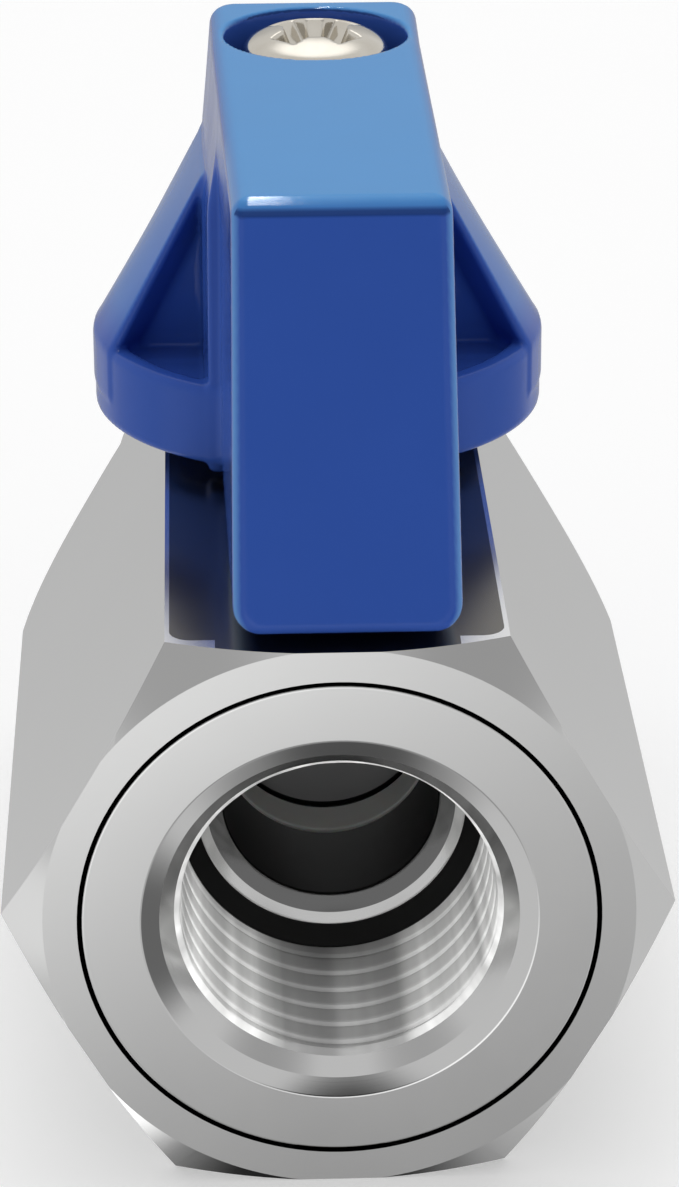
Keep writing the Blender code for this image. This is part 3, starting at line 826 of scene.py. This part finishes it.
def make_seats_and_seals(plastic, black, bore_z):
    """The two seats that cup the ball, the flat seals and the stem's O-rings."""
    reach = BALL_R + SEAT_GAP
    lip = math.degrees(math.acos(WATERWAY_R / reach))
    edge = math.degrees(math.asin(SEAT_Y[0] / reach))
    near, far = SEAT_Y
    for name, side in (("inlet_seat", -1), ("outlet_seat", 1)):
        cup = arc((0, 0), (reach, side * reach), edge, lip, 12)
        outline = [(WATERWAY_R, side * far, 0.1), (SEAT_R, side * far, 0.2), (SEAT_R, side * near)]
        outline += [tuple(point) for point in cup]
        made = object_of(name + "_ring", turned(rounded(outline), bore_z))
        finish_piece(made, plastic, "valve_body", [name])
    made = object_of("body_seal_ring", turned(ring_outline(*BODY_SEAL), bore_z))
    finish_piece(made, plastic, "valve_body", ["body_seal"])
    made = object_of("thrust_washer_ring", turned(ring_outline(*WASHER), segments=AROUND_SMALL))
    finish_piece(made, plastic, "valve_body", ["stem_thrust_washer"])
    for name, z in zip(("lower_stem_o_ring", "upper_stem_o_ring"), O_RING_Z):
        section = arc((O_RING_R, z), (O_RING_WIRE_R, O_RING_WIRE_R), 0, 345, 23)
        made = object_of(name + "_moulded", turned(section, segments=AROUND_SMALL))
        finish_piece(made, black, "lever", [name])


def make_ball(finish, bore_z):
    """The ball with its bore, and the slot on top that the stem's tang drives."""
    edge = math.degrees(math.acos(WATERWAY_R / BALL_R))
    skin = arc((0, 0), (BALL_R, BALL_R), -edge + 1.5, edge - 1.5, 60)
    lip = BALL_R * math.sin(math.radians(edge))
    outline = [tuple(point) for point in skin]
    outline += [(WATERWAY_R, lip - BALL_LIP), (WATERWAY_R, BALL_LIP - lip)]
    ball = object_of("ball_polished", turned(outline, bore_z))
    low = (-BALL_R - 3, -SLOT_HALF, bore_z + SLOT_FLOOR)
    high = (BALL_R + 3, SLOT_HALF, bore_z + BALL_R + 1)
    combine(ball, block("slot", low, high))
    return finish_piece(ball, finish, "closure", ["ball"])


def make_stem(finish):
    """The stem: tang, flange, two ring grooves, double-D top and the hole for the screw."""
    flange_r, flange_low, flange_top = FLANGE
    groove_r, groove_half = GROOVE
    outline = [(0.0, flange_low), (flange_r, flange_low, 0.1)]
    outline += [(flange_r, flange_top, 0.1), (STEM_R, flange_top)]
    for z in O_RING_Z:
        outline += [(STEM_R, z - groove_half, 0.06), (groove_r, z - groove_half, 0.1)]
        outline += [(groove_r, z + groove_half, 0.1), (STEM_R, z + groove_half, 0.06)]
    outline += [(STEM_R, STEM_TOP - 0.4), (STEM_R - 0.4, STEM_TOP), (SCREW_HOLE_R, STEM_TOP, 0.1)]
    outline += [(SCREW_HOLE_R, 25.8), (0.0, 24.8)]
    stem = object_of("stem_turned", turned(rounded(outline), segments=AROUND_SMALL))
    half, start = STEM_FLAT
    for side in (-1, 1):
        near, far = sorted((side * half, side * 2 * STEM_R))
        combine(stem, block("flat", (near, -7, start), (far, 7, STEM_TOP + 1)))
    width, thickness, low = TANG
    tang_top = flange_low + 0.5
    tang = block("tang", (-width / 2, -thickness / 2, low), (width / 2, thickness / 2, tang_top))
    break_edges(tang, 0.12)
    combine(stem, tang, "UNION")
    return finish_piece(stem, finish, "lever", ["stem"])


def roof_half(y, z):
    """Half width of the cross web at a height: its two roofs run from the skirt's rim up to the grip."""
    foot = np.sqrt(np.maximum(SKIRT_R**2 - y**2, 1.0))
    rise = np.clip((WEB_TOP - z) / (WEB_TOP - SKIRT_TOP), -0.3, 1.0)
    return ROOT_HALF[1][1] + (foot - ROOT_HALF[1][1]) * rise


def grip_halves(y, z):
    """Half widths of the grip's root and nose. High up, both follow one straight side."""
    root, nose = along(ROOT_HALF, z), along(NOSE_HALF, z)
    share = np.clip((ROOT_BACK - y) / (ROOT_BACK - NOSE_FRONT[1][1]), 0, 1)
    side = root + (nose - root) * share
    high = np.clip((z - STEP_FADE[0]) / (STEP_FADE[1] - STEP_FADE[0]), 0, 1)
    high = high * high * (3 - 2 * high)
    return root + (side - root) * high, nose + (side - nose) * high, high


def web_field(x, y, z, radius):
    """The cross web under its two roofs, with a sunk triangular pocket on each face and side."""
    slope = (WEB_TOP - SKIRT_TOP) / (SKIRT_R - ROOT_HALF[1][1])
    lean = math.sin(math.atan(slope))
    roof = np.maximum((x - roof_half(y, z)) * lean, radius - SKIRT_R)
    web = meet(0.25, roof, np.abs(y) - WEB_FACE, SKIRT_LOW + 1 - z, z - WEB_TOP)
    sunk = np.clip((WEB_FACE - np.abs(y)) / POCKET_DEPTH, -0.3, 1.2)
    outer = roof_half(np.full_like(y, WEB_FACE), z) - POCKET_RIM - POCKET_WALL * sunk
    floor = WEB_FACE - POCKET_DEPTH - np.abs(y)
    pocket = meet(FILLET, ROOT_HALF[0][1] - x, DECK_Z - z, (x - outer) * lean * 0.9, floor)
    return without(FILLET, web, pocket)


def grip_field(leaned, y, z):
    """The grip's root over the stem and its nose over the inlet, under one sloping top."""
    root_half, nose_half, high = grip_halves(y, z)
    root = meet(ROOT_BACK_EDGE, meet(FILLET, leaned - root_half, ROOT_FRONT - y), y - ROOT_BACK)
    nose = meet(NOSE_LOW_EDGE, leaned - nose_half, NOSE_LOW - z)
    nose = meet(NOSE_FRONT_EDGE, nose, along(NOSE_FRONT, z) - y, y - ROOT_FRONT - 1.5)
    grip = blend_in(0.35 * (1 - high) + 0.001, root, nose)
    grip = meet(GRIP_TOP_EDGE, grip, z - along(HANDLE_TOP, y))
    return np.maximum(grip, NOSE_LOW - z)


def cup_field(signed_x, y, z, radius):
    """The space inside the skirt, less the stop tab that swings between the body's lugs."""
    cup = meet(0.2, radius - CUP_R, z - CUP_ROOF)
    angle = np.degrees(np.arctan2(y, signed_x)) % 360.0
    inner, start, stop = TAB
    middle, spread = (start + stop) / 2, math.radians((stop - start) / 2)
    swing = np.radians(np.abs(angle - middle))
    tab = meet(0.12, (swing - spread) * radius, inner - radius, SKIRT_LOW - z)
    return without(0.12, cup, tab)


def handle_field(signed_x, y, z):
    """The cast handle: round skirt, cross web with pockets, grip over the stem and nose over the inlet."""
    x = np.abs(signed_x)
    radius = np.hypot(x, y)
    leaned = np.abs(signed_x + NOSE_LEAN * np.minimum(y, 0))
    skirt = meet(0.28, radius - SKIRT_R, z - SKIRT_TOP, SKIRT_LOW - z)
    floor = WEB_FACE - POCKET_DEPTH - np.abs(y)
    sunk_deck = meet(FILLET, radius - DECK_R, ROOT_HALF[0][1] - x, floor, DECK_Z - z)
    skirt = without(0.18, skirt, sunk_deck)
    solid = join(FILLET, skirt, web_field(x, y, z, radius), grip_field(leaned, y, z))

    half, core_front, core_back, core_roof = CORE
    core = meet(0.3, leaned - half, core_front - y, y - core_back, z - core_roof)
    socket = meet(
        0.08,
        radius - STEM_R - STEM_PLAY,
        x - STEM_FLAT[0] - STEM_PLAY,
        z - STEM_TOP - STEM_PLAY,
        CUP_ROOF - 1 - z,
    )
    hole = meet(0.05, radius - SCREW_HOLE_R, STEM_TOP - z)
    sink = meet(0.15, radius - COUNTERBORE_R, COUNTERBORE_FLOOR - z)
    solid = without(FILLET, solid, cup_field(signed_x, y, z, radius), core)
    solid = without(0.08, solid, socket, hole)
    return without(0.16, solid, sink)


def make_handle(finish):
    """The handle's surface, from its field."""
    low = (-SKIRT_R, NOSE_FRONT[0][1], NOSE_LOW)
    high = (SKIRT_R, SKIRT_R, HANDLE_TOP[-1][1])
    step = HANDLE_STEPS[1]
    handle = surface_of("handle_cast", handle_field, low, high, step)
    return finish_piece(handle, finish, "lever", ["handle"], sharp=80.0)


def screw_field(x, y, z):
    """A pan-head screw with a cross recess and a rolled thread."""
    radius = np.hypot(x, y)
    dome = (np.hypot(radius / HEAD_R, (z - HEAD_RIM) / HEAD_DOME) - 1) * HEAD_DOME * 0.9
    dome = np.where(z > HEAD_RIM, dome, radius - HEAD_R)
    head = meet(0.12, dome, HEAD_LOW - z)
    turn = np.arctan2(y, x) / math.tau
    form = thread_form(z / SCREW_PITCH - turn + 0.5)
    fade = np.clip((HEAD_LOW - 0.6 - z) / 0.4, 0, 1)
    shank_r = SCREW_R - (SCREW_R - SCREW_ROOT_R) * (1 - form) * fade
    tip = (radius + (SCREW_END + 0.45 - z) - SCREW_R) * 0.7
    shank = np.maximum.reduce([(radius - shank_r) * 0.6, SCREW_END - z, tip, z - HEAD_LOW - 0.5])
    solid = join(0.1, head, shank)
    floor = HEAD_RIM + HEAD_DOME - RECESS_DEPTH
    above = z - floor
    u, v = (x + y) / math.sqrt(2), (x - y) / math.sqrt(2)
    arms = []
    for a, b in ((u, v), (v, u)):
        thin, long = np.abs(a) - ARM_HALF - ARM_FLARE * above, np.abs(b) - ARM_REACH - above
        arms.append(meet(RECESS_EDGE, thin, long, 0.12 - above))
    centre = (radius - CENTRE_R - CENTRE_FLARE * above) * 0.92
    centre = meet(RECESS_EDGE, centre, -above)
    recess = join(0.12, *arms, centre)
    return without(RECESS_EDGE, solid, recess)


def make_screw(finish):
    """The screw's surface, from its field."""
    low, high = (-HEAD_R, -HEAD_R, SCREW_END), (HEAD_R, HEAD_R, HEAD_RIM + HEAD_DOME)
    step = SCREW_STEPS[1]
    screw = surface_of("handle_screw_finished", screw_field, low, high, step)
    return finish_piece(screw, finish, "lever", ["handle_screw"], sharp=80.0)


# Studio


def world_light():
    """A pale studio dome. Soft windows of more or less light stand for its boxes and for the dark room."""
    world = bpy.data.worlds.new("studio")
    bpy.context.scene.world = world
    world.use_nodes = True
    nodes = Nodes(world.node_tree)
    backdrop = nodes.tree.nodes["Background"]
    backdrop.inputs["Color"].default_value = (1.0, 1.0, 1.0, 1.0)
    direction = nodes.add("ShaderNodeTexCoord").outputs["Generated"]
    level = DOME_LEVEL
    for turn, rise, size, soft, amount in WINDOWS:
        a, e = math.radians(turn), math.radians(rise)
        aim = (math.sin(a) * math.cos(e), math.cos(a) * math.cos(e), math.sin(e))
        near = nodes.add("ShaderNodeVectorMath", {0: direction, 1: aim}, operation="DOT_PRODUCT")
        edges = (size + soft, max(size - soft, 0.0))
        start, stop = (math.cos(math.radians(edge)) for edge in edges)
        light = nodes.ramp(near.outputs["Value"], start, stop, 0.0, amount, interpolation_type="SMOOTHSTEP")
        level = nodes.math("ADD", light, level)
    strength = nodes.math("MAXIMUM", level, DOME_LEAST)
    nodes.tree.links.new(strength, backdrop.inputs["Strength"])


def add_lamp(name, at, aim, size, power, lit):
    """A soft rectangular lamp in millimetres, seen only by the one object it lights."""
    data = bpy.data.lights.new(name, "AREA")
    data.shape = "RECTANGLE"
    data.size, data.size_y = (side * MM for side in size)
    data.energy = power
    made = raw_object(name, data)
    made.location = Vector(at) * MM
    made.rotation_euler = (Vector(aim) - Vector(at)).to_track_quat("-Z", "Y").to_euler()
    made.visible_camera = False
    receivers = bpy.data.collections.new(name + "_lit")
    receivers.objects.link(lit)
    made.light_linking.receiver_collection = receivers
    return made


def add_lamps(handle, insert):
    """One strip for the small highlight on the grip's front edge, and two for the mouth's sides."""
    glint = add_lamp("glint", GLINT_AT, (GLINT_AT[0], GLINT_AT[1], 0), GLINT_SIZE, GLINT_POWER, handle)
    glint.visible_diffuse = False
    for side in (-1, 1):
        at = (side * MOUTH_LAMP_AT[0], MOUTH_LAMP_AT[1], MOUTH_LAMP_AT[2])
        lamp = add_lamp("mouth_lamp", at, MOUTH_AIM, MOUTH_LAMP_SIZE, MOUTH_LAMP_POWER, insert)
        lamp.visible_glossy = False


def make_floor():
    """A plain pale floor. Reflections see only the dome, so that the steel's light stays as planned."""
    reach = FLOOR_REACH
    corners = [(-reach, -reach, 0), (reach, -reach, 0), (reach, reach, 0), (-reach, reach, 0)]
    mesh = bpy.data.meshes.new("floor")
    mesh.from_pydata(corners, [], [(0, 1, 2, 3)])
    floor = raw_object("floor", mesh)
    floor.location.z = FLOOR_Z * MM
    dark, pale = ((shade, shade, shade) for shade in FLOOR_WHITES)
    recipe = Recipe("pale_floor", pale, 0.0, 0.6)
    recipe.feed(recipe.mix(recipe.noise(20.0), dark, pale), "Base Color")
    recipe.set("Specular IOR Level", 0.2)
    recipe.set("Emission Color", (1.0, 1.0, 1.0, 1.0))
    recipe.set("Emission Strength", FLOOR_GLOW)
    mesh.materials.append(recipe.made)
    floor.visible_glossy = False


def make_camera():
    """The camera, turned to the left of the waterway and tilted down."""
    turn, rise = math.radians(CAMERA_TURN), math.radians(CAMERA_RISE)
    right = Vector((math.cos(turn), -math.sin(turn), 0.0))
    up = Vector((math.sin(turn) * math.sin(rise), math.cos(turn) * math.sin(rise), math.cos(rise)))
    back = right.cross(up)
    data = bpy.data.cameras.new("camera")
    data.lens = CAMERA_LENS
    data.shift_x, data.shift_y = CAMERA_SHIFT
    data.clip_start, data.clip_end = 0.001, 10.0
    camera = raw_object("camera", data)
    rotation = Matrix((right, up, back)).transposed().to_4x4()
    camera.matrix_world = Matrix.Translation(Vector(CAMERA_AT) * MM) @ rotation
    bpy.context.scene.camera = camera


def main():
    """Builds every piece on the frame's measures, then the studio."""
    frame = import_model()
    insert_low, insert_high = (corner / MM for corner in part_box("end_insert"))
    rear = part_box("body")[1].y / MM
    bore_z = (insert_low.z + insert_high.z) / 2

    axis = bore_z * MM
    bar = drawn_steel("body_steel", STEEL, 0.1, axis)
    ring = turned_steel("insert_steel", STEEL, 0.12, axis, 2e-7, 4e-5, insert_low.y + INLET_DEPTH - 0.1)
    ball = turned_steel("ball_steel", STEEL, 0.06, axis, 5e-8, 8e-5)
    shaft = turned_steel("stem_steel", STEEL, 0.2, axis, 3e-7, 6e-5)
    white, black, bright = ptfe(), rubber(), nickel()
    make_body(bar, 2 * bore_z, insert_low.y, rear, bore_z)
    insert = make_end_insert(ring, insert_low.y, bore_z)
    make_seats_and_seals(white, black, bore_z)
    make_ball(ball, bore_z)
    make_stem(shaft)
    handle = make_handle(enamel())
    make_screw(bright)
    washer = frame["nodes"]["screw_lock_washer"]
    washer.data.materials.clear()
    washer.data.materials.append(bright)

    bpy.context.scene.view_settings.view_transform = "Standard"
    world_light()
    add_lamps(handle, insert)
    make_floor()
    make_camera()


main()
